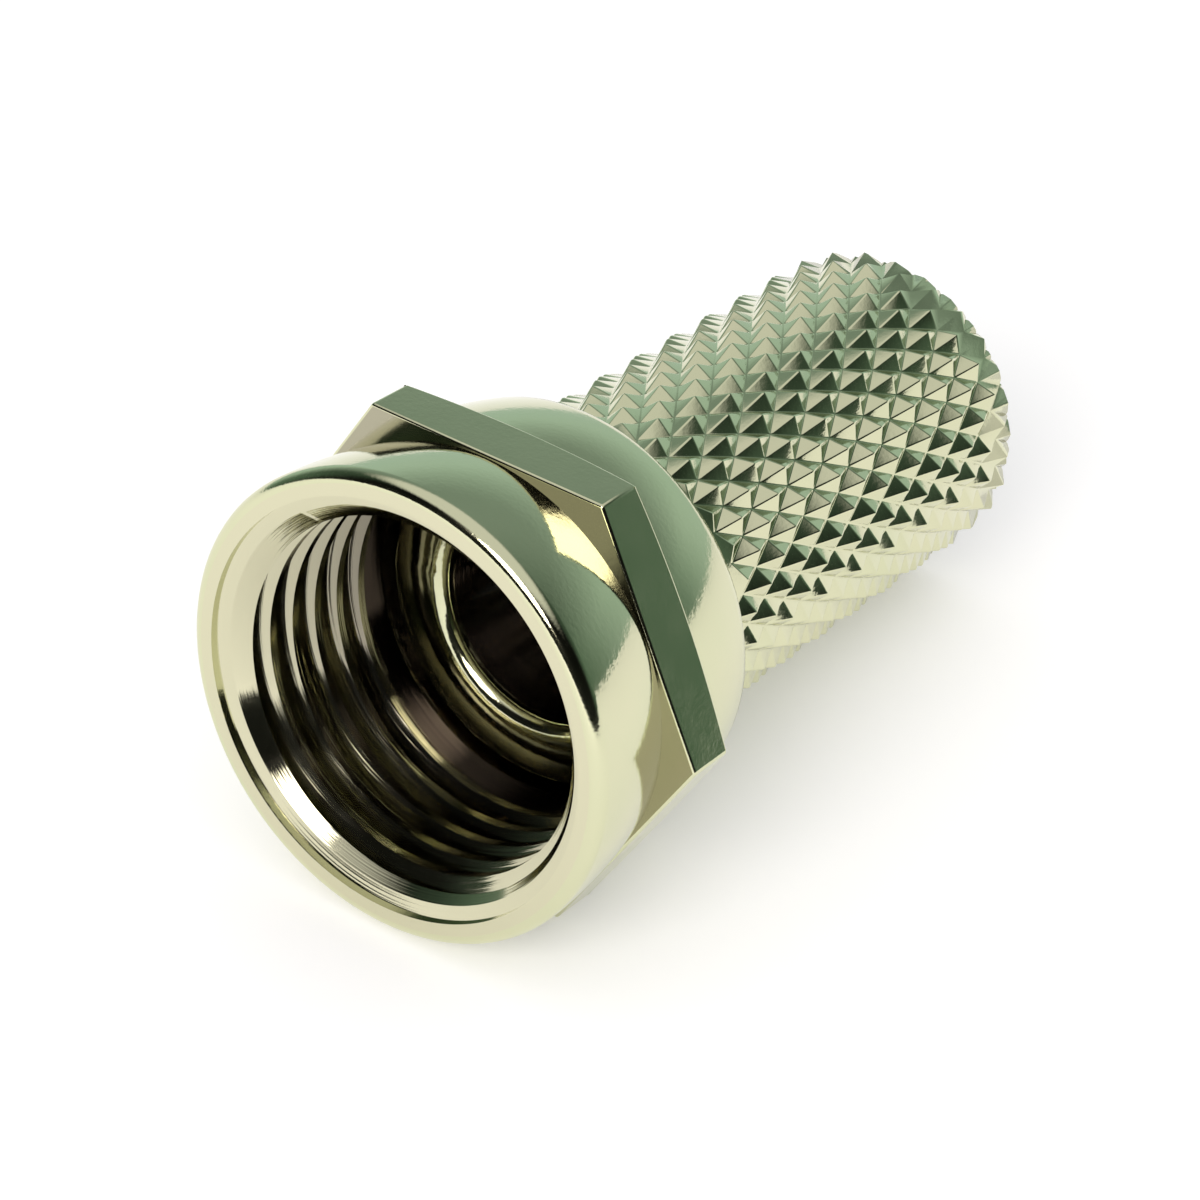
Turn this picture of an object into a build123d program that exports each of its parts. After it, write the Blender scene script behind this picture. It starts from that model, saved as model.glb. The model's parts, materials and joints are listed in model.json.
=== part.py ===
"""Twist-on coaxial F connector: a free coupling nut, held on a knurled sleeve that screws over the cable.

It lies as it would come to rest, with the nut's lower flat and the sleeve's cable end on the surface. The origin
is the centre of the sleeve's contact face, the connector's reference plane, deep in the nut. +X runs back towards
the cable and +Z is up. Stations are lengths along the connector, counted back from its mouth.
"""
from build123d import *
from math import atan2, ceil, cos, degrees, floor, pi, sin
import os

# Nut, inside: the plain wall stands at the outer diameter of the 3/8 inch, 32 turns per inch thread
port_thread_diameter = 9.58
mouth_bevel = 0.34
drilled_bore_diameter = 8.8
nut_lip_thickness = 0.5

# Nut, outside
across_flats = 10.9
collar_diameter = 11.4
collar_neck_wall = 0.56
collar_neck_diameter = port_thread_diameter + 2 * collar_neck_wall
mouth_rounding = 0.3
hex_front = 2.75
hex_length = 1.45
hex_corner_rounding = 0.08
hex_edge_chamfer = 0.07
corner_relief = 0.2
shoulder_wall = 0.63
shoulder_diameter = port_thread_diameter + 2 * shoulder_wall
shoulder_bulge = 0.08
nut_length = 6.6
nut_back_diameter = 10.0
nut_back_chamfer = 0.12

# Sleeve
overall_length = 20.2
neck_diameter = 6.8
flange_diameter = 8.4
flange_thickness = 0.6
flange_inner_rounding = 0.4
flange_outer_chamfer = 0.15
dielectric_bore_diameter = 5.3
cable_bore_diameter = 6.6
cable_bore_depth = 11.8
bore_step_length = 0.4
cable_lead_in = 0.3

# Diamond knurl of the sleeve: two families of helical grooves with one pitch along the axis
knurl_diameter = 8.25
knurl_depth = 0.34
knurl_pitch = 1.5
left_hand_groove_count = 26
right_hand_groove_count = 32
knurl_last_point = 1.6
knurl_end_chamfer = 0.3

# Clearances between nut and sleeve
thread_run_out = 0.1
neck_clearance = 0.06
flange_clearance = 0.1
shoulder_clearance = 0.15

# Stations worked out from the sizes
hex_back = hex_front + hex_length
nut_lip_front = nut_length - nut_lip_thickness
flange_back = nut_lip_front - flange_clearance
flange_front = flange_back - flange_thickness
thread_end = flange_front - thread_run_out
barrel_front = nut_length + shoulder_clearance
cable_bore_front = overall_length - cable_bore_depth

# The connector's own axis dips towards the cable, so that the flat and the knurled end both touch the surface
flat_radius = across_flats / 2
knurl_radius = knurl_diameter / 2
tilt = atan2(flat_radius - knurl_radius, overall_length - knurl_end_chamfer - hex_back)
reference = Plane(origin=(0, 0, 0), x_dir=(0, 1, 0), z_dir=(cos(tilt), 0, -sin(tilt)))
mouth = reference.offset(-flange_front)
section = Plane(origin=mouth.origin, x_dir=mouth.z_dir, z_dir=(0, -1, 0))
centre_line = Axis(origin=mouth.origin, direction=mouth.z_dir)


def ring_point(station, radius, angle):
    """A point at a station, a radius and an angle in radians about the connector's axis."""
    return mouth.from_local_coords((radius * cos(angle), radius * sin(angle), station))


def knurled_bar(front, back):
    """A bar of four-sided points between two crossing families of helical grooves, longer than front to back.

    The points stand in straight rows, one row along the bottom. Whole places in a row are groove crossings, and
    each half place is a point. With more grooves of one hand than of the other, each row starts further on.
    """
    rows = left_hand_groove_count + right_hand_groove_count
    row_turn = 2 * pi / rows
    row_shift = knurl_pitch * right_hand_groove_count / rows
    first_crossing = overall_length - knurl_last_point + knurl_pitch / 2

    def corner(row, place):
        station = first_crossing + row * row_shift + place * knurl_pitch
        radius = knurl_radius if place % 1 else knurl_radius - knurl_depth
        return ring_point(station, radius, row * row_turn - pi / 2)

    def places_to(station, row):
        return (station - first_crossing - row * row_shift) / knurl_pitch

    triangles = []
    for row in range(rows):
        start = floor(places_to(front, row))
        end = ceil(places_to(back, row))
        for place in range(start, end):
            point = corner(row, place + 0.5)
            ahead = corner(row, place)
            behind = corner(row, place + 1)
            above = corner(row + 1, place)
            below = corner(row - 1, place + 1)
            triangles += [(ahead, point, above), (point, behind, above)]
            triangles += [(below, point, ahead), (below, behind, point)]
        # A flat cone closes each end, out to the first and last crossings of this row and the next
        next_start = floor(places_to(front, row + 1))
        next_end = ceil(places_to(back, row + 1))
        front_tip = ring_point(front - knurl_pitch, 0, 0)
        back_tip = ring_point(back + knurl_pitch, 0, 0)
        triangles.append((front_tip, corner(row, start), corner(row + 1, next_start)))
        triangles.append((back_tip, corner(row, end), corner(row + 1, next_end)))
    return Solid(Shell([Face(Wire.make_polygon(triangle)) for triangle in triangles]))


# Coupling nut
with BuildPart() as coupling_nut:
    # Hexagon, its corners rounded and its edges broken
    with BuildSketch(mouth.offset(hex_front)) as hexagon:
        RegularPolygon(radius=flat_radius, side_count=6, major_radius=False)
        fillet(hexagon.vertices(), hex_corner_rounding)
    extrude(amount=hex_length)
    ends = coupling_nut.faces().sort_by(centre_line)
    chamfer(ends[0].edges() + ends[-1].edges(), hex_edge_chamfer)
    # Its corners are turned back a little at the rear
    with BuildSketch(section):
        with BuildLine():
            shoulder_radius = shoulder_diameter / 2
            corner_radius = flat_radius / cos(pi / 6)
            relief_slope = corner_relief / (corner_radius - shoulder_radius)
            rear_station = hex_back - relief_slope * (across_flats - shoulder_radius)
            Polyline(
                (hex_front, 0),
                (hex_front, across_flats),
                (rear_station, across_flats),
                (hex_back, shoulder_radius),
                (hex_back, 0),
                (hex_front, 0),
            )
        make_face()
    revolve(axis=centre_line, mode=Mode.INTERSECT)
    # Crowned collar at the mouth
    with BuildSketch(section) as collar:
        with BuildLine():
            collar_radius = collar_diameter / 2
            collar_neck_radius = collar_neck_diameter / 2
            crown_middle = (hex_front / 2, collar_neck_radius + (collar_radius - collar_neck_radius) * 3 / 4)
            Polyline((hex_front, collar_neck_radius), (hex_front, 0), (0, 0), (0, collar_radius))
            ThreePointArc((0, collar_radius), crown_middle, (hex_front, collar_neck_radius))
        make_face()
        fillet(collar.vertices().sort_by_distance((0, collar_radius))[0], mouth_rounding)
    revolve(axis=centre_line)
    # Domed shoulder, carried on from inside the hexagon
    with BuildSketch(section) as shoulder:
        with BuildLine():
            back_radius = nut_back_diameter / 2
            hex_middle = hex_front + hex_length / 2
            dome_middle = ((hex_back + nut_length) / 2, (shoulder_radius + back_radius) / 2 + shoulder_bulge)
            Polyline(
                (hex_back, shoulder_radius),
                (hex_middle, shoulder_radius),
                (hex_middle, 0),
                (nut_length, 0),
                (nut_length, back_radius),
            )
            ThreePointArc((nut_length, back_radius), dome_middle, (hex_back, shoulder_radius))
        make_face()
        chamfer(shoulder.vertices().sort_by_distance((nut_length, back_radius))[0], nut_back_chamfer)
    revolve(axis=centre_line)
    # Threaded bore, bevelled at the mouth, its drilled end, and the hole in the lip that keeps the nut on the sleeve
    with BuildSketch(section):
        with BuildLine():
            port_radius = port_thread_diameter / 2
            lip_radius = neck_diameter / 2 + neck_clearance
            Polyline(
                (0, 0),
                (0, port_radius + mouth_bevel),
                (mouth_bevel, port_radius),
                (thread_end, port_radius),
                (thread_end, drilled_bore_diameter / 2),
                (nut_lip_front, drilled_bore_diameter / 2),
                (nut_lip_front, lip_radius),
                (nut_length, lip_radius),
                (nut_length, 0),
                (0, 0),
            )
        make_face()
    revolve(axis=centre_line, mode=Mode.SUBTRACT)

# Knurled sleeve
with BuildPart() as knurled_sleeve:
    add(knurled_bar(barrel_front, overall_length))
    # Cut to length and chamfered at both ends
    with BuildSketch(section) as barrel:
        with BuildLine():
            end_radius = knurl_radius - knurl_end_chamfer
            clear_radius = knurl_radius + knurl_end_chamfer
            Polyline(
                (barrel_front, 0),
                (barrel_front, end_radius),
                (barrel_front + 2 * knurl_end_chamfer, clear_radius),
                (overall_length - 2 * knurl_end_chamfer, clear_radius),
                (overall_length, end_radius),
                (overall_length, 0),
                (barrel_front, 0),
            )
        make_face()
    revolve(axis=centre_line, mode=Mode.INTERSECT)
    # Neck through the nut, with the flange that keeps it in
    with BuildSketch(section) as spigot:
        with BuildLine():
            neck_radius = neck_diameter / 2
            flange_radius = flange_diameter / 2
            bore_radius = dielectric_bore_diameter / 2
            Polyline(
                (flange_front, bore_radius),
                (flange_front, flange_radius),
                (flange_back, flange_radius),
                (flange_back, neck_radius),
                (barrel_front, neck_radius),
                (barrel_front, bore_radius),
                (flange_front, bore_radius),
            )
        make_face()
        fillet(spigot.vertices().sort_by_distance((flange_front, bore_radius))[0], flange_inner_rounding)
        chamfer(spigot.vertices().sort_by_distance((flange_front, flange_radius))[0], flange_outer_chamfer)
    revolve(axis=centre_line)
    # Bores: narrow in front for the cable's insulation, wide behind for its jacket, with a lead-in at the end
    with BuildSketch(section):
        with BuildLine():
            cable_radius = cable_bore_diameter / 2
            Polyline(
                (barrel_front, 0),
                (barrel_front, bore_radius),
                (cable_bore_front - bore_step_length, bore_radius),
                (cable_bore_front, cable_radius),
                (overall_length - cable_lead_in, cable_radius),
                (overall_length, cable_radius + cable_lead_in),
                (overall_length, 0),
                (barrel_front, 0),
            )
        make_face()
    revolve(axis=centre_line, mode=Mode.SUBTRACT)

coupling_nut.part.label = "coupling_nut"
knurled_sleeve.part.label = "knurled_sleeve"

os.makedirs("parts", exist_ok=True)
for piece in (coupling_nut, knurled_sleeve):
    export_step(piece.part, f"parts/{piece.part.label}.step")
    print(piece.part.label, round(piece.part.volume, 3), "mm3, solids", len(piece.part.solids()))
print("tilt", round(degrees(tilt), 3))
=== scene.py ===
"""Finishes a twist-on coaxial F connector: its nickel plate, its inner threads, and a plain studio round it.

Lengths are in metres, in the frame of the solids. A station is a length along the connector, counted back from
its mouth, and an angle of 0 about its axis points along +Y, with 90 degrees up.
"""

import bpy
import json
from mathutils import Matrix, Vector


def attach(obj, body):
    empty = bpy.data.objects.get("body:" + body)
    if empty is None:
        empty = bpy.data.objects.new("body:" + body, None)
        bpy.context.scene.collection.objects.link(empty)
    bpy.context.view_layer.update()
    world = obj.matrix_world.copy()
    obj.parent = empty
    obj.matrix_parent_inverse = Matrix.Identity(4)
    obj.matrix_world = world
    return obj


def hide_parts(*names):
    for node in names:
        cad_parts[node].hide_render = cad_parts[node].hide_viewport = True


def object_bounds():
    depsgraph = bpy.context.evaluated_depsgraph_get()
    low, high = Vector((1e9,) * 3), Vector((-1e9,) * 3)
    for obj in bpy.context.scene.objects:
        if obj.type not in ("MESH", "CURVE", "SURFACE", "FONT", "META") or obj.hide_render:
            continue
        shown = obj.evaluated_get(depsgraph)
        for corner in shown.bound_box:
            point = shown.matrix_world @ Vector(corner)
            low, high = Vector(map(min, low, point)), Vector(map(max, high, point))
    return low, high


bl_info = {
    "name": "Twist-on coaxial connector",
    "version": (1, 0, 0),
    "blender": (4, 5, 0),
    "location": "View3D > Sidebar > Connector",
    "description": "Plates and threads a twist-on coaxial connector and sets up its studio",
    "category": "Object",
}

import json
import math
import bpy
from bpy.props import FloatProperty, FloatVectorProperty, PointerProperty
from mathutils import Euler, Matrix, Vector

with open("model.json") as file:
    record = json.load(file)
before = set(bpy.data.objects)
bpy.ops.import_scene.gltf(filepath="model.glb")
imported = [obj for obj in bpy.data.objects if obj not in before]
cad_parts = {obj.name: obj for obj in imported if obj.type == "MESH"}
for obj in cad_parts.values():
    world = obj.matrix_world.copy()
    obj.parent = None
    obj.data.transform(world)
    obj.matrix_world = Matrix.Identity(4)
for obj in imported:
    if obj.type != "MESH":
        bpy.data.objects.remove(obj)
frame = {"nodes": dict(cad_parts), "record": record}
cad_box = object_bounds()

# What the frame says of the connector: its mounts, its axis and the radii of its bores
MOUNTS = {mount["name"]: mount for mount in frame["record"]["mounts"]}
CABLEWARD = -Vector(MOUNTS["port_thread"]["axis"]).normalized()
UPWARD = Vector((0, 1, 0)).cross(CABLEWARD) * -1
PORT_WALL = MOUNTS["port_thread"]["dims"]["r_mm"] / 1000
CABLE_WALL = MOUNTS["cable_bore"]["dims"]["r_mm"] / 1000
CABLE_THREAD_LENGTH = MOUNTS["cable_bore"]["dims"]["length_mm"] / 1000
# What it doesn't say: the solid's bevel at the mouth, and the gap between the thread's end and the contact face
MOUTH_BEVEL = 0.00034
THREAD_RUN_OUT = 0.0001
CONTACT_STATION = MOUNTS["port_thread"]["dims"]["length_mm"] / 1000 + MOUTH_BEVEL + THREAD_RUN_OUT
CABLE_MIDDLE = Vector(MOUNTS["cable_bore"]["pos_m"]).dot(CABLEWARD) + CONTACT_STATION
TO_CONNECTOR = Matrix((UPWARD.cross(CABLEWARD), UPWARD, CABLEWARD)).transposed().to_4x4()
# How far one solid reaches into another where the two are joined
TUCK = 0.00005
# Studio wall, and its height as a share of its radius
WALL_RADIUS = 0.5
WALL_TOP = 0.82


class NutSettings(bpy.types.PropertyGroup):
    """Coupling nut, turned from hexagon bar"""
    across_flats: FloatProperty(name="Across flats", description="Width of the hexagon", default=0.0109, unit="LENGTH")
    hexagon_front: FloatProperty(
        name="Hexagon front", description="Station where the hexagon starts", default=0.00275, unit="LENGTH")
    hexagon_back: FloatProperty(
        name="Hexagon back", description="Station where the hexagon ends", default=0.0042, unit="LENGTH")
    edge_rounding: FloatProperty(
        name="Edges", description="Rounding of the hexagon's edges", default=0.00007, unit="LENGTH")
    corner_relief: FloatProperty(
        name="Corner relief", description="How far the corners are turned back at the rear", default=0.0002,
        unit="LENGTH")
    collar_radius: FloatProperty(
        name="Collar", description="Radius of the collar at the mouth", default=0.0057, unit="LENGTH")
    collar_neck_radius: FloatProperty(
        name="Collar neck", description="Radius of the collar at the hexagon", default=0.00535, unit="LENGTH")
    mouth_rounding: FloatProperty(
        name="Mouth rounding", description="Rounding of the collar at the mouth", default=0.0003, unit="LENGTH")
    recess_depth: FloatProperty(
        name="Recess", description="Depth of the plain recess before the thread", default=0.0002, unit="LENGTH")
    recess_run: FloatProperty(
        name="Recess run", description="Length in which the recess narrows to the thread", default=0.0001,
        unit="LENGTH")
    recess_step: FloatProperty(
        name="Recess step", description="How much wider the recess is than the thread, all round", default=0.00031,
        unit="LENGTH")
    shoulder_radius: FloatProperty(
        name="Shoulder", description="Radius of the shoulder at the hexagon", default=0.00542, unit="LENGTH")
    shoulder_bulge: FloatProperty(
        name="Shoulder bulge", description="Bulge of the domed shoulder", default=0.00008, unit="LENGTH")
    back_radius: FloatProperty(name="Back", description="Radius at the nut's back", default=0.005, unit="LENGTH")
    back_chamfer: FloatProperty(
        name="Back chamfer", description="Chamfer at the nut's back", default=0.00012, unit="LENGTH")
    length: FloatProperty(name="Length", description="Length of the nut", default=0.0066, unit="LENGTH")
    drilled_radius: FloatProperty(
        name="Drilled bore", description="Radius of the bore behind the thread", default=0.0044, unit="LENGTH")
    lip_front: FloatProperty(name="Lip", description="Station where the lip starts", default=0.0061, unit="LENGTH")
    lip_radius: FloatProperty(
        name="Lip hole", description="Radius of the hole in the lip", default=0.00346, unit="LENGTH")


class SleeveSettings(bpy.types.PropertyGroup):
    """Worn edges of the knurled sleeve"""
    edge_rounding: FloatProperty(
        name="Edges", description="Rounding of the knurl's ridges and grooves", default=0.00004, unit="LENGTH")
    flange_rounding: FloatProperty(
        name="Flange rounding", description="Rounding of the flange where its bore starts", default=0.0004,
        unit="LENGTH")
    knurl_front: FloatProperty(
        name="Knurl front", description="Station from which the knurl is worn", default=0.0075, unit="LENGTH")
    knurl_back: FloatProperty(
        name="Knurl back", description="Station up to which the knurl is worn", default=0.0195, unit="LENGTH")
    knurl_root: FloatProperty(
        name="Knurl root", description="Radius at the bottom of the knurl's grooves", default=0.003785,
        unit="LENGTH")


class NutThreadSettings(bpy.types.PropertyGroup):
    """The nut's 3/8 inch, 32 turns per inch inner thread"""
    pitch: FloatProperty(name="Pitch", description="From turn to turn", default=0.0254 / 32, unit="LENGTH")
    crest_radius: FloatProperty(
        name="Crest radius", description="From the axis to the crest", default=0.00438, unit="LENGTH")
    crest_width: FloatProperty(name="Crest width", description="Flat of the crest", default=0.00022, unit="LENGTH")
    root_width: FloatProperty(
        name="Root width", description="Width of a turn where it meets the wall", default=0.00071, unit="LENGTH")
    first_angle: FloatProperty(
        name="Start", description="Angle where the first turn starts", default=math.radians(60), unit="ROTATION")


class CableThreadSettings(bpy.types.PropertyGroup):
    """The coarse inner thread that grips the cable's jacket"""
    pitch: FloatProperty(name="Pitch", description="From turn to turn", default=0.0014, unit="LENGTH")
    crest_radius: FloatProperty(
        name="Crest radius", description="From the axis to the crest", default=0.00302, unit="LENGTH")
    crest_width: FloatProperty(name="Crest width", description="Flat of the crest", default=0.00012, unit="LENGTH")
    root_width: FloatProperty(
        name="Root width", description="Width of a turn where it meets the wall", default=0.0007, unit="LENGTH")


class PlateSettings(bpy.types.PropertyGroup):
    """Bright nickel plate"""
    colour: FloatVectorProperty(
        name="Colour", description="Colour of the plate", size=3, subtype="COLOR", min=0, max=1,
        default=(0.70, 0.68, 0.47))
    thin_colour: FloatVectorProperty(
        name="Thin plate", description="Colour where the plate is thinner", size=3, subtype="COLOR", min=0, max=1,
        default=(0.62, 0.65, 0.42))
    roughness: FloatProperty(name="Roughness", description="Roughness of the plate", default=0.09, min=0, max=1)
    grain: FloatProperty(name="Grain", description="Size of the plate's fine grain", default=0.00012, unit="LENGTH")
    bore_colour: FloatVectorProperty(
        name="Bore", description="Colour of the thin plate at the mouth of the bore", size=3, subtype="COLOR", min=0,
        max=1, default=(0.66, 0.64, 0.45))
    # Painted shade: the dark colour that the bores take deeper in, where little light reaches
    bore_shade_colour: FloatVectorProperty(
        name="Deep bore", description="Colour of the tarnished plate deep in the bore", size=3, subtype="COLOR",
        min=0, max=1, default=(0.15, 0.13, 0.11))
    mark_spacing: FloatProperty(
        name="Turning marks", description="Spacing of the tool marks in the bore", default=0.00005, unit="LENGTH")
    mark_height: FloatProperty(
        name="Mark height", description="Height of the tool marks in the bore", default=0.00001, unit="LENGTH")
    grain_height: FloatProperty(
        name="Grain height", description="Height of the plate's fine grain", default=0.00002, unit="LENGTH")


class StudioSettings(bpy.types.PropertyGroup):
    """Camera, floor and lamps"""
    camera_place: FloatVectorProperty(
        name="Camera place", description="Where the camera stands", size=3, subtype="TRANSLATION",
        default=(-0.0581667, -0.0412678, 0.0513684))
    camera_azimuth: FloatProperty(
        name="Azimuth", description="Turn of the view from +Y towards -X", default=math.radians(-55.8026),
        unit="ROTATION")
    camera_drop: FloatProperty(
        name="Drop", description="How far the view looks down", default=math.radians(35.4180), unit="ROTATION")
    camera_roll: FloatProperty(
        name="Roll", description="Lean of the camera", default=math.radians(3.2577), unit="ROTATION")
    camera_lens: FloatProperty(name="Lens", description="Focal length in millimetres", default=115.24)
    floor_width: FloatProperty(name="Floor", description="Width of the floor", default=2.4, unit="LENGTH")
    floor_colour: FloatVectorProperty(
        name="Floor colour", description="Colour of the floor", size=3, subtype="COLOR", min=0, max=1,
        default=(0.90, 0.90, 0.90))
    floor_glow: FloatProperty(
        name="Floor glow", description="How much paler the floor looks to the camera and in the metal", default=0.20)
    sky_level: FloatProperty(name="Sky", description="Level of the even light from all round", default=0.80)
    front_colour: FloatVectorProperty(
        name="Front wall", description="Colour of the dark studio wall in front, which only the metal mirrors", size=3,
        subtype="COLOR", min=0, max=1, default=(0.010, 0.011, 0.010))
    side_colour: FloatVectorProperty(
        name="Side wall", description="Colour of the studio wall at the sides", size=3, subtype="COLOR", min=0,
        max=1, default=(0.10, 0.16, 0.12))
    back_colour: FloatVectorProperty(
        name="Back wall", description="Colour of the studio wall behind", size=3, subtype="COLOR", min=0, max=1,
        default=(0.47, 0.62, 0.56))
    upper_share: FloatProperty(
        name="Upper wall", description="How bright the wall's upper part is beside its lower part", default=0.52)
    lamp_level: FloatProperty(name="Lamp", description="Power of the lamp above the camera", default=0.30)
    lamp_colour: FloatVectorProperty(
        name="Lamp colour", description="Colour of the lamp", size=3, subtype="COLOR", min=0, max=1,
        default=(1.0, 0.94, 0.92))
    lamp_size: FloatProperty(name="Lamp size", description="Width of the lamp", default=0.14, unit="LENGTH")
    lamp_way: FloatVectorProperty(
        name="Lamp way", description="Direction from the connector to the lamp", size=3, subtype="XYZ",
        default=(-0.81, -0.17, 0.56))
    lamp_distance: FloatProperty(
        name="Lamp distance", description="How far away the lamp stands", default=0.25, unit="LENGTH")


SETTINGS = {
    "connector_nut": NutSettings,
    "connector_sleeve": SleeveSettings,
    "connector_nut_thread": NutThreadSettings,
    "connector_cable_thread": CableThreadSettings,
    "connector_plate": PlateSettings,
    "connector_studio": StudioSettings,
}


def nothing_selected():
    """Leaves object mode with nothing selected, so that the next operator acts on new pieces only."""
    if bpy.context.object and bpy.context.object.mode != "OBJECT":
        bpy.ops.object.mode_set(mode="OBJECT")
    bpy.ops.object.select_all(action="DESELECT")


def only(piece):
    """Makes one piece the selected and active one."""
    nothing_selected()
    piece.select_set(True)
    bpy.context.view_layer.objects.active = piece


def apply_modifiers(piece):
    """Applies each of a piece's modifiers in turn."""
    only(piece)
    for modifier in list(piece.modifiers):
        bpy.ops.object.modifier_apply(modifier=modifier.name)


def select_where(piece, test):
    """In edit mode, selects the vertices whose place passes a test."""
    bpy.ops.object.mode_set(mode="OBJECT")
    for polygon in piece.data.polygons:
        polygon.select = False
    for edge in piece.data.edges:
        edge.select = False
    for vertex in piece.data.vertices:
        vertex.select = test(vertex.co)
    bpy.ops.object.mode_set(mode="EDIT")


def curve_through(first, middle, last, steps=8):
    """Points of the shallow curve through three points, without the first."""
    points = []
    for step in range(1, steps + 1):
        way = step / steps
        shares = ((1 - way) * (1 - 2 * way), 4 * way * (1 - way), way * (2 * way - 1))
        points.append(tuple(sum(share * point[axis] for share, point in zip(shares, (first, middle, last)))
                            for axis in (0, 1)))
    return points


def turned(name, outline, segments=192):
    """A solid turned piece, closed at both ends, with a ring at each station and radius of its outline."""
    nothing_selected()
    (station, radius), *following = outline
    bpy.ops.mesh.primitive_circle_add(vertices=segments, radius=radius, fill_type="NGON", location=(0, 0, station))
    piece = bpy.context.object
    piece.name = piece.data.name = name
    bpy.ops.object.transform_apply(location=True)
    bpy.ops.object.mode_set(mode="EDIT")
    bpy.ops.mesh.select_mode(type="FACE")
    bpy.ops.mesh.select_all(action="SELECT")
    for next_station, next_radius in following:
        bpy.ops.mesh.extrude_region_move(TRANSFORM_OT_translate={"value": (0, 0, next_station - station)})
        growth = next_radius / radius
        bpy.ops.transform.resize(value=(growth, growth, 1), center_override=(0, 0, 0))
        station, radius = next_station, next_radius
    bpy.ops.mesh.select_all(action="SELECT")
    bpy.ops.mesh.normals_make_consistent(inside=False)
    bpy.ops.object.mode_set(mode="OBJECT")
    return piece


def round_ring(piece, station, radius, width, segments):
    """Rounds the edge where a turned piece has a ring at a station and a radius."""
    near = 0.000002
    only(piece)
    bpy.ops.object.mode_set(mode="EDIT")
    bpy.ops.mesh.select_mode(type="VERT")
    select_where(piece, lambda place: abs(place.z - station) < near
                 and abs(math.hypot(place.x, place.y) - radius) < near)
    bpy.ops.mesh.bevel(offset=width, segments=segments, affect="EDGES")
    bpy.ops.object.mode_set(mode="OBJECT")


def combine(piece, tool, operation):
    """Joins a tool solid to a piece, or cuts the piece with it, and removes the tool."""
    change = piece.modifiers.new(operation, "BOOLEAN")
    change.operation = operation
    change.solver = "EXACT"
    change.object = tool
    apply_modifiers(piece)
    bpy.data.objects.remove(tool)


def stand_on_axis(piece):
    """Turns a piece built along +Z from the mouth into the connector's own frame, and leaves its object at rest."""
    only(piece)
    piece.matrix_world = Matrix.Translation(-CONTACT_STATION * CABLEWARD) @ TO_CONNECTOR
    bpy.ops.object.transform_apply(location=True, rotation=True, scale=True)


def thread_ridge(name, wall, crest, crest_width, root_width, pitch, front, back, first_angle):
    """The turns of a right-handed inner thread between two stations, seated a little into the wall of their bore."""
    seat = 0.00003
    steps = 96
    nothing_selected()
    bpy.ops.mesh.primitive_plane_add(size=1, rotation=(math.radians(90), 0, 0))
    ridge = bpy.context.object
    ridge.name = ridge.data.name = name
    ridge.scale = (wall + seat - crest, root_width, 1)
    ridge.location = ((wall + seat + crest) / 2, 0, front + root_width / 2)
    bpy.ops.object.transform_apply(location=True, rotation=True, scale=True)
    # Narrows the crest
    bpy.ops.object.mode_set(mode="EDIT")
    bpy.ops.mesh.select_mode(type="VERT")
    middle = (wall + crest) / 2
    select_where(ridge, lambda place: place.x < middle)
    bpy.ops.transform.resize(value=(1, 1, crest_width / root_width))
    bpy.ops.mesh.select_all(action="SELECT")
    bpy.ops.mesh.delete(type="ONLY_FACE")
    bpy.ops.object.mode_set(mode="OBJECT")
    ridge.rotation_euler = (0, 0, first_angle)
    bpy.ops.object.transform_apply(rotation=True)
    count = (back - front - root_width) / pitch
    turns = ridge.modifiers.new("Turns", "SCREW")
    turns.axis = "Z"
    turns.angle = math.tau * count
    turns.screw_offset = pitch * count
    turns.steps = turns.render_steps = round(steps * count)
    turns.use_merge_vertices = False
    turns.use_normal_calculate = True
    apply_modifiers(ridge)
    # Closes it at both ends
    bpy.ops.object.mode_set(mode="EDIT")
    bpy.ops.mesh.select_all(action="SELECT")
    bpy.ops.mesh.fill_holes(sides=4)
    bpy.ops.mesh.normals_make_consistent(inside=False)
    bpy.ops.object.mode_set(mode="OBJECT")
    return ridge


def finish_piece(piece, body, material, sharp=30):
    """Smooths a finished piece, plates it and lets it ride with its body."""
    only(piece)
    bpy.ops.object.shade_smooth_by_angle(angle=math.radians(sharp))
    piece.data.materials.clear()
    piece.data.materials.append(material)
    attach(piece, body)


def add_node(tree, kind, operation=None, **inputs):
    """Adds a shader node and sets its sockets, whose names have spaces in place of underscores."""
    node = tree.nodes.new(kind)
    if operation:
        node.operation = operation
    for name, value in inputs.items():
        socket = node.inputs[int(name[1:])] if name[0] == "_" else node.inputs[name.replace("_", " ")]
        if isinstance(value, bpy.types.NodeSocket):
            tree.links.new(value, socket)
        else:
            socket.default_value = value
    return node


def mix_colours(tree, share, first, second):
    """The socket of a mix of two colours, where a share of 0 is all the first."""
    mix = tree.nodes.new("ShaderNodeMix")
    mix.data_type = "RGBA"
    tree.links.new(share, mix.inputs[0])
    for socket, colour in ((mix.inputs[6], first), (mix.inputs[7], second)):
        if isinstance(colour, bpy.types.NodeSocket):
            tree.links.new(colour, socket)
        else:
            socket.default_value = (*colour, 1)
    return mix.outputs[2]


def bright_metal(name):
    """Polished metal, a little duller in soft smears. Gives its material, nodes, shader and place socket."""
    roughness = bpy.context.scene.connector_plate.roughness
    material = bpy.data.materials.new(name)
    material.use_nodes = True
    tree = material.node_tree
    principled = tree.nodes["Principled BSDF"]
    principled.inputs["Metallic"].default_value = 1.0
    place = add_node(tree, "ShaderNodeTexCoord").outputs["Object"]
    smear = add_node(tree, "ShaderNodeTexNoise", Vector=place, Scale=1100.0, Detail=4.0)
    rough = add_node(tree, "ShaderNodeMapRange", Value=smear.outputs["Fac"], From_Min=0.3, From_Max=0.7,
                     To_Min=roughness * 0.8, To_Max=roughness * 1.5)
    tree.links.new(rough.outputs[0], principled.inputs["Roughness"])
    return material, tree, principled, place


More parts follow.
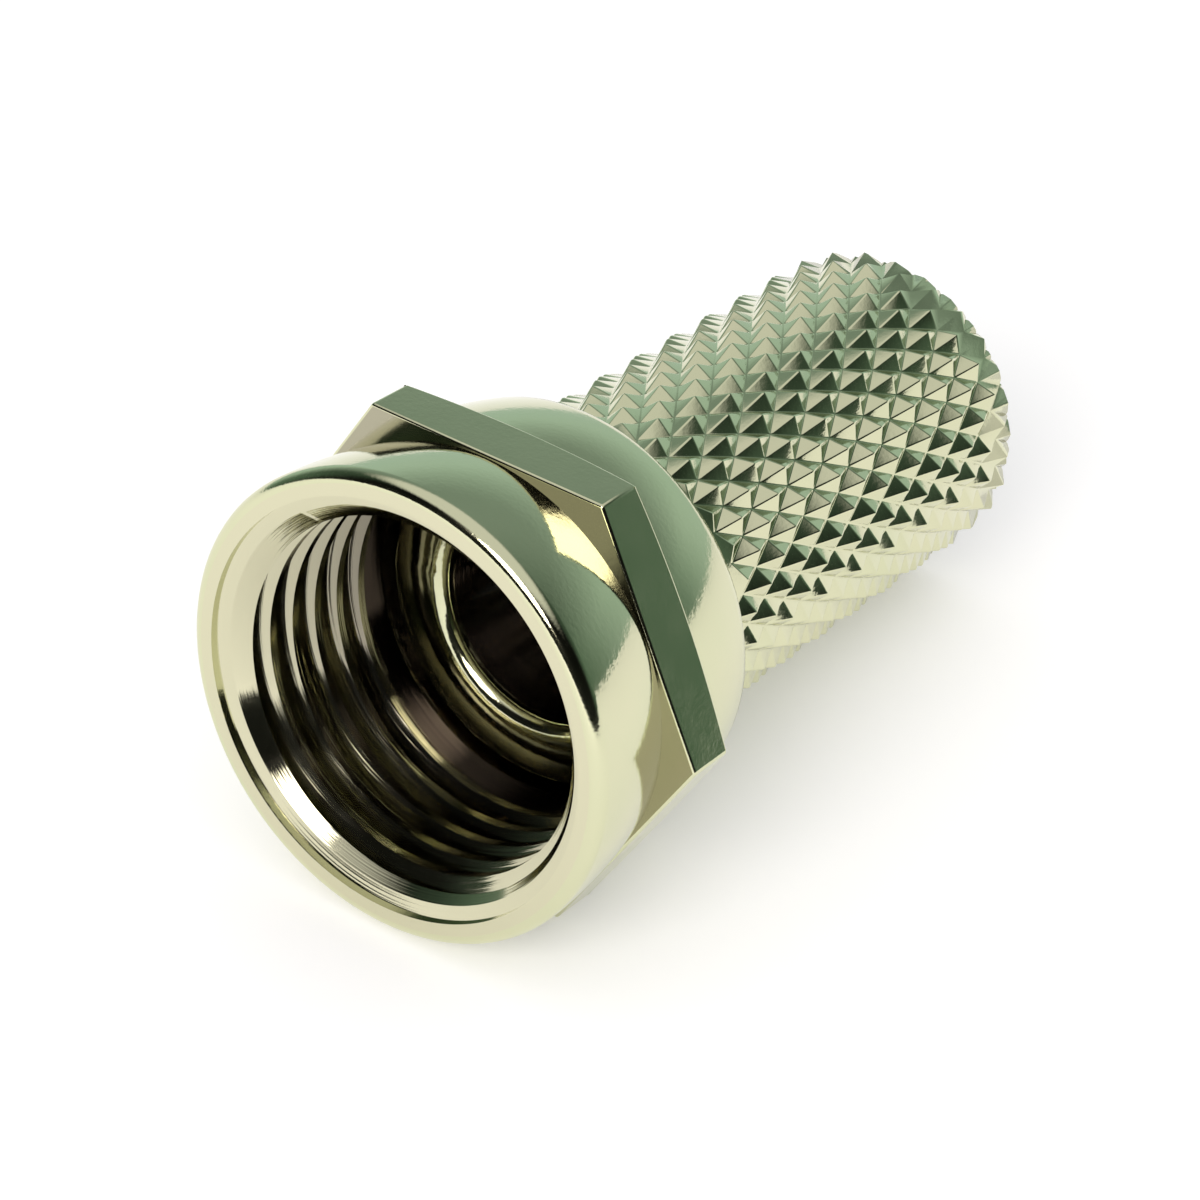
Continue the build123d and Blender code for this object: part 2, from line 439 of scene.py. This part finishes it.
def nickel_plate(name):
    """Bright nickel plate over brass, a little greener where it is thin, with a fine grain and faint wear."""
    plate = bpy.context.scene.connector_plate
    material, tree, principled, place = bright_metal(name)
    cloud = add_node(tree, "ShaderNodeTexNoise", Vector=place, Scale=350.0, Detail=3.0)
    tree.links.new(mix_colours(tree, cloud.outputs["Fac"], plate.thin_colour, plate.colour),
                   principled.inputs["Base Color"])
    grain = add_node(tree, "ShaderNodeTexNoise", Vector=place, Scale=1 / plate.grain, Detail=2.0)
    bump = add_node(tree, "ShaderNodeBump", Height=grain.outputs["Fac"], Strength=0.12, Distance=plate.grain_height)
    tree.links.new(bump.outputs[0], principled.inputs["Normal"])
    return material


def bore_plate(name):
    """Thin plate in the bores: pale at the mouth, darkened deeper in with painted shade, and ringed with fine tool
    marks.
    """
    plate = bpy.context.scene.connector_plate
    material, tree, principled, place = bright_metal(name)
    along = add_node(tree, "ShaderNodeVectorMath", "DOT_PRODUCT", _0=place, _1=CABLEWARD).outputs["Value"]
    cable_end = CABLE_MIDDLE + CABLE_THREAD_LENGTH / 2
    depth = add_node(tree, "ShaderNodeMapRange", Value=along, From_Min=-CONTACT_STATION,
                     From_Max=cable_end - CONTACT_STATION)
    # Painted shade: the colour darkens from the mouth to the contact face, stays dark to the middle of the cable
    # thread and pales again towards the cable end
    painted_shade = add_node(tree, "ShaderNodeValToRGB", _0=depth.outputs[0])
    ramp = painted_shade.color_ramp
    ramp.elements[0].color = ramp.elements[1].color = (*plate.bore_colour, 1)
    for station in (CONTACT_STATION, CABLE_MIDDLE):
        ramp.elements.new(station / cable_end).color = (*plate.bore_shade_colour, 1)
    tree.links.new(painted_shade.outputs[0], principled.inputs["Base Color"])
    count = add_node(tree, "ShaderNodeMath", "MULTIPLY", _0=along, _1=1 / plate.mark_spacing)
    marks = tree.nodes.new("ShaderNodeTexNoise")
    marks.noise_dimensions = "1D"
    marks.inputs["Scale"].default_value = 1.0
    tree.links.new(count.outputs[0], marks.inputs["W"])
    bump = add_node(tree, "ShaderNodeBump", Height=marks.outputs["Fac"], Strength=0.5, Distance=plate.mark_height)
    tree.links.new(bump.outputs[0], principled.inputs["Normal"])
    return material


class OBJECT_OT_connector_plate(bpy.types.Operator):
    """Plate the nut and the sleeve"""
    bl_idname = "object.connector_plate"
    bl_label = "Plate nut and sleeve"

    def execute(self, context):
        for node, finish in (("coupling_nut", "nut_plate"), ("knurled_sleeve", "sleeve_plate")):
            part = frame["nodes"][node]
            part.data.materials.clear()
            part.data.materials.append(nickel_plate(finish))
        bore_plate("bore_plate")
        return {"FINISHED"}


class OBJECT_OT_connector_nut(bpy.types.Operator):
    """Turn the coupling nut"""
    bl_idname = "object.connector_nut"
    bl_label = "Coupling nut"

    def turn_outside(self, nut):
        """Crowned collar, and the domed shoulder behind the hexagon."""
        middle = (nut.hexagon_front + nut.hexagon_back) / 2
        front = nut.hexagon_front + TUCK
        back = nut.hexagon_back - TUCK
        crown = (nut.hexagon_front / 2, nut.collar_neck_radius + (nut.collar_radius - nut.collar_neck_radius) * 3 / 4)
        dome = ((nut.hexagon_back + nut.length) / 2, (nut.shoulder_radius + nut.back_radius) / 2 + nut.shoulder_bulge)
        outline = [(0, nut.collar_radius)]
        outline += curve_through(outline[0], crown, (front, nut.collar_neck_radius))
        outline += [(middle, nut.collar_neck_radius), (middle, nut.shoulder_radius), (back, nut.shoulder_radius)]
        outline += curve_through(outline[-1], dome, (nut.length, nut.back_radius))
        body = turned("nut_body", outline)
        round_ring(body, 0, nut.collar_radius, nut.mouth_rounding, segments=6)
        round_ring(body, nut.length, nut.back_radius, nut.back_chamfer, segments=2)
        return body

    def mill_hexagon(self, nut):
        """Short hexagon with worn edges, its corners turned back a little at the rear."""
        nothing_selected()
        corner_radius = nut.across_flats / 2 / math.cos(math.radians(30))
        height = nut.hexagon_back + 2 * TUCK - nut.hexagon_front
        bpy.ops.mesh.primitive_cylinder_add(
            vertices=6, radius=corner_radius, depth=height, rotation=(0, 0, math.radians(30)),
            location=(0, 0, nut.hexagon_front + height / 2))
        hexagon = bpy.context.object
        bpy.ops.object.transform_apply(location=True, rotation=True)
        relief_slope = nut.corner_relief / (corner_radius - nut.shoulder_radius)
        beyond = 2 * nut.across_flats
        rear = nut.hexagon_back - relief_slope * (beyond - nut.shoulder_radius)
        dish = turned("rear_dish", [
            (nut.length, beyond), (rear, beyond),
            (nut.hexagon_back + relief_slope * TUCK, nut.shoulder_radius - TUCK)])
        combine(hexagon, dish, "DIFFERENCE")
        edges = hexagon.modifiers.new("Edges", "BEVEL")
        edges.width = nut.edge_rounding
        edges.segments = 3
        edges.limit_method = "ANGLE"
        edges.angle_limit = math.radians(30)
        apply_modifiers(hexagon)
        return hexagon

    def bore(self, nut, body):
        """Recess, threaded bore, drilled bore behind it and the hole in the lip."""
        overshoot = 0.0002
        wide = PORT_WALL + nut.recess_step
        thread_end = CONTACT_STATION - THREAD_RUN_OUT
        hole = turned("bore", [
            (-overshoot, wide), (nut.recess_depth, wide), (nut.recess_depth + nut.recess_run, PORT_WALL),
            (thread_end, PORT_WALL), (thread_end, nut.drilled_radius), (nut.lip_front, nut.drilled_radius),
            (nut.lip_front, nut.lip_radius), (nut.length + overshoot, nut.lip_radius)])
        combine(body, hole, "DIFFERENCE")

    def execute(self, context):
        nut = context.scene.connector_nut
        body = self.turn_outside(nut)
        combine(body, self.mill_hexagon(nut), "UNION")
        self.bore(nut, body)
        finish_piece(body, "nut", bpy.data.materials["nut_plate"])
        body.data.materials.append(bpy.data.materials["bore_plate"])
        # All that faces the bore, short of the nut's back face, takes the bore plate and with it the painted shade
        # deeper in
        widest = PORT_WALL + nut.recess_step / 2
        near = 0.0001
        for face in body.data.polygons:
            middle = face.center
            if math.hypot(middle.x, middle.y) < widest and middle.z < nut.length - near:
                face.material_index = 1
        level = body.modifiers.new("Level flats", "WEIGHTED_NORMAL")
        level.keep_sharp = True
        apply_modifiers(body)
        stand_on_axis(body)
        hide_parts("coupling_nut")
        return {"FINISHED"}


class OBJECT_OT_connector_sleeve(bpy.types.Operator):
    """Wear the edges of the knurled sleeve"""
    bl_idname = "object.connector_sleeve"
    bl_label = "Knurled sleeve"

    def execute(self, context):
        sleeve = context.scene.connector_sleeve
        nothing_selected()
        body = bpy.data.objects.new("sleeve_body", frame["nodes"]["knurled_sleeve"].data.copy())
        context.collection.objects.link(body)
        only(body)
        bpy.ops.object.mode_set(mode="EDIT")
        bpy.ops.mesh.select_all(action="SELECT")
        bpy.ops.mesh.remove_doubles(threshold=1e-6)
        bpy.ops.object.mode_set(mode="OBJECT")
        near = 0.00001

        def in_the_knurl(place):
            length = place.dot(CABLEWARD)
            radius = (place - CABLEWARD * length).length
            station = length + CONTACT_STATION
            return sleeve.knurl_front < station < sleeve.knurl_back and radius > sleeve.knurl_root - near

        bpy.ops.object.mode_set(mode="EDIT")
        bpy.ops.mesh.select_mode(type="VERT")
        select_where(body, in_the_knurl)
        bpy.ops.mesh.bevel(offset=sleeve.edge_rounding, segments=2, affect="EDGES")
        bpy.ops.object.mode_set(mode="OBJECT")
        finish_piece(body, "sleeve", bpy.data.materials["sleeve_plate"])
        body.data.materials.append(bpy.data.materials["bore_plate"])
        # All that faces a bore, behind the flange's rounded edge, takes the bore plate and with it the painted shade
        # deeper in; the rounded edge is left out of the painted shade
        for face in body.data.polygons:
            length = face.center.dot(CABLEWARD)
            radius = (face.center - CABLEWARD * length).length
            if length > sleeve.flange_rounding and radius < CABLE_WALL + near:
                face.material_index = 1
        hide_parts("knurled_sleeve")
        return {"FINISHED"}


class OBJECT_OT_connector_nut_thread(bpy.types.Operator):
    """Cut the port thread in the nut"""
    bl_idname = "object.connector_nut_thread"
    bl_label = "Nut thread"

    def execute(self, context):
        thread = context.scene.connector_nut_thread
        nut = context.scene.connector_nut
        start = nut.recess_depth + nut.recess_run
        ridge = thread_ridge(
            "nut_thread", PORT_WALL, thread.crest_radius, thread.crest_width, thread.root_width, thread.pitch,
            start - thread.pitch, CONTACT_STATION - THREAD_RUN_OUT, thread.first_angle)
        # The first turn rises out of the wall along a bevel of 45 degrees
        wide = PORT_WALL + nut.recess_step
        rise = 0.0006
        cutter = turned("mouth_cutter", [
            (start - 2 * thread.pitch, wide), (start, wide), (start, PORT_WALL), (start + rise, PORT_WALL - rise)])
        combine(ridge, cutter, "DIFFERENCE")
        stand_on_axis(ridge)
        finish_piece(ridge, "nut", bpy.data.materials["bore_plate"])
        return {"FINISHED"}


class OBJECT_OT_connector_cable_thread(bpy.types.Operator):
    """Cut the coarse thread in the sleeve's cable end"""
    bl_idname = "object.connector_cable_thread"
    bl_label = "Cable thread"

    def execute(self, context):
        thread = context.scene.connector_cable_thread
        ridge = thread_ridge(
            "cable_thread", CABLE_WALL, thread.crest_radius, thread.crest_width, thread.root_width, thread.pitch,
            CABLE_MIDDLE - CABLE_THREAD_LENGTH / 2,
            CABLE_MIDDLE + CABLE_THREAD_LENGTH / 2,
            first_angle=0.0)
        stand_on_axis(ridge)
        finish_piece(ridge, "sleeve", bpy.data.materials["bore_plate"])
        return {"FINISHED"}


def bare_material(name):
    """A material with no shader yet. Gives it with its nodes and the socket of its surface."""
    material = bpy.data.materials.new(name)
    material.use_nodes = True
    tree = material.node_tree
    tree.nodes.remove(tree.nodes["Principled BSDF"])
    return material, tree, tree.nodes["Material Output"].inputs["Surface"]


def pale_floor(studio):
    """Pale floor: it takes the object's shadow, and looks near white to the camera and in the metal."""
    material, tree, surface = bare_material("pale_floor")
    diffuse = add_node(tree, "ShaderNodeBsdfDiffuse", Color=(*studio.floor_colour, 1))
    path = add_node(tree, "ShaderNodeLightPath")
    seen = add_node(tree, "ShaderNodeMath", "MAXIMUM", _0=path.outputs["Is Camera Ray"],
                    _1=path.outputs["Is Glossy Ray"])
    shown = add_node(tree, "ShaderNodeMath", "MAXIMUM", _0=seen.outputs[0], _1=path.outputs["Is Transmission Ray"])
    lift = add_node(tree, "ShaderNodeMath", "MULTIPLY", _0=shown.outputs[0], _1=studio.floor_glow)
    glow = add_node(tree, "ShaderNodeEmission", Color=(1, 1, 1, 1), Strength=lift.outputs[0])
    both = add_node(tree, "ShaderNodeAddShader", _0=diffuse.outputs[0], _1=glow.outputs[0])
    tree.links.new(both.outputs[0], surface)
    return material


def wall_finish(studio):
    """Studio wall: near black in front, green at the sides and pale behind, and fading into the sky at its top."""
    material, tree, surface = bare_material("studio_wall")
    place = add_node(tree, "ShaderNodeTexCoord").outputs["Object"]
    backward = (0.87 / WALL_RADIUS, 0.50 / WALL_RADIUS, 0)
    along = add_node(tree, "ShaderNodeVectorMath", "DOT_PRODUCT", _0=place, _1=backward)
    round_the_wall = add_node(tree, "ShaderNodeMapRange", Value=along.outputs["Value"], From_Min=-1.0, From_Max=1.0)
    around = add_node(tree, "ShaderNodeValToRGB", _0=round_the_wall.outputs[0])
    ramp = around.color_ramp
    ramp.interpolation = "EASE"
    ramp.elements[0].position = 0.35
    ramp.elements[0].color = (*studio.front_colour, 1)
    ramp.elements[1].position = 0.90
    ramp.elements[1].color = (*studio.back_colour, 1)
    ramp.elements.new(0.62).color = (*studio.side_colour, 1)
    height = add_node(tree, "ShaderNodeSeparateXYZ", Vector=place).outputs["Z"]
    shade = add_node(tree, "ShaderNodeMapRange", Value=height, From_Min=0.2 * WALL_RADIUS,
                     From_Max=0.45 * WALL_RADIUS, To_Min=1.0, To_Max=studio.upper_share)
    shaded = add_node(tree, "ShaderNodeVectorMath", "SCALE", _0=around.outputs[0], Scale=shade.outputs[0])
    fade = add_node(tree, "ShaderNodeMapRange", Value=height, From_Min=0.60 * WALL_RADIUS,
                    From_Max=WALL_TOP * WALL_RADIUS)
    fade.interpolation_type = "SMOOTHSTEP"
    colour = mix_colours(tree, fade.outputs[0], shaded.outputs[0], [studio.sky_level] * 3)
    glow = add_node(tree, "ShaderNodeEmission", Color=colour, Strength=1.0)
    tree.links.new(glow.outputs[0], surface)
    return material


class OBJECT_OT_connector_studio(bpy.types.Operator):
    """Set up the floor, the lamps and the camera"""
    bl_idname = "object.connector_studio"
    bl_label = "Studio"

    def add_wall(self, studio, floor_height):
        """A round studio wall, open above, which only the metal mirrors."""
        nothing_selected()
        bpy.ops.mesh.primitive_uv_sphere_add(
            segments=64, ring_count=32, radius=WALL_RADIUS, location=(0, 0, floor_height))
        wall = bpy.context.object
        wall.name = wall.data.name = "studio_wall"
        bpy.ops.object.transform_apply(location=True)
        bpy.ops.object.mode_set(mode="EDIT")
        for height, below in ((floor_height, True), (WALL_TOP * WALL_RADIUS, False)):
            bpy.ops.mesh.select_all(action="SELECT")
            bpy.ops.mesh.bisect(plane_co=(0, 0, height), plane_no=(0, 0, 1), clear_inner=below, clear_outer=not below)
        bpy.ops.object.mode_set(mode="OBJECT")
        wall.data.materials.append(wall_finish(studio))
        wall.visible_camera = False
        wall.visible_shadow = False
        wall.visible_diffuse = False

    def execute(self, context):
        studio = context.scene.connector_studio
        low, high = cad_box
        # Floor
        nothing_selected()
        bpy.ops.mesh.primitive_grid_add(x_subdivisions=8, y_subdivisions=8, size=studio.floor_width,
                                        location=(0, 0, low[2]))
        floor = context.object
        floor.name = floor.data.name = "floor"
        floor.data.materials.append(pale_floor(studio))
        self.add_wall(studio, low[2])
        # Even light from all round
        world = bpy.data.worlds.new("studio_sky")
        context.scene.world = world
        world.use_nodes = True
        sky = world.node_tree.nodes["Background"]
        sky.inputs["Color"].default_value = (1, 1, 1, 1)
        sky.inputs["Strength"].default_value = studio.sky_level
        # Lamp a little above the camera
        lamp = bpy.data.lights.new("lamp", "AREA")
        lamp.shape = "DISK"
        lamp.size = studio.lamp_size
        lamp.energy = studio.lamp_level
        lamp.color = studio.lamp_colour
        stand = bpy.data.objects.new("lamp", lamp)
        context.collection.objects.link(stand)
        stand.location = Vector(studio.lamp_way) * studio.lamp_distance
        stand.rotation_euler = (-stand.location).to_track_quat("-Z", "Y").to_euler()
        # Camera, at the place and lean that the reference view was taken from
        camera = bpy.data.cameras.new("camera")
        camera.lens = studio.camera_lens
        camera.sensor_width = 36
        camera.clip_start = 0.001
        viewer = bpy.data.objects.new("camera", camera)
        context.collection.objects.link(viewer)
        look = Euler((math.radians(90) - studio.camera_drop, 0, studio.camera_azimuth)).to_matrix()
        lean = Matrix.Rotation(studio.camera_roll, 3, "Z")
        viewer.matrix_world = Matrix.Translation(Vector(studio.camera_place)) @ (look @ lean).to_4x4()
        context.scene.camera = viewer
        context.scene.view_settings.view_transform = "Standard"
        return {"FINISHED"}


class VIEW3D_PT_connector(bpy.types.Panel):
    """Lists the connector's steps in the sidebar"""
    bl_label = "Connector"
    bl_space_type = "VIEW_3D"
    bl_region_type = "UI"
    bl_category = "Connector"

    def draw(self, context):
        for step in STEPS:
            self.layout.operator(step.bl_idname)
        for name, settings in SETTINGS.items():
            box = self.layout.box()
            box.label(text=settings.__doc__)
            for field in settings.__annotations__:
                box.prop(getattr(context.scene, name), field)


STEPS = (
    OBJECT_OT_connector_plate,
    OBJECT_OT_connector_nut,
    OBJECT_OT_connector_sleeve,
    OBJECT_OT_connector_nut_thread,
    OBJECT_OT_connector_cable_thread,
    OBJECT_OT_connector_studio,
)
CLASSES = (*SETTINGS.values(), *STEPS, VIEW3D_PT_connector)


def register():
    for part in CLASSES:
        bpy.utils.register_class(part)
    for name, settings in SETTINGS.items():
        setattr(bpy.types.Scene, name, PointerProperty(type=settings))


def unregister():
    for name in SETTINGS:
        delattr(bpy.types.Scene, name)
    for part in reversed(CLASSES):
        bpy.utils.unregister_class(part)


def main():
    """Registers the classes and runs each step."""
    register()
    bpy.ops.object.connector_plate()
    bpy.ops.object.connector_nut()
    bpy.ops.object.connector_sleeve()
    bpy.ops.object.connector_nut_thread()
    bpy.ops.object.connector_cable_thread()
    bpy.ops.object.connector_studio()


if __name__ == "__main__":
    main()
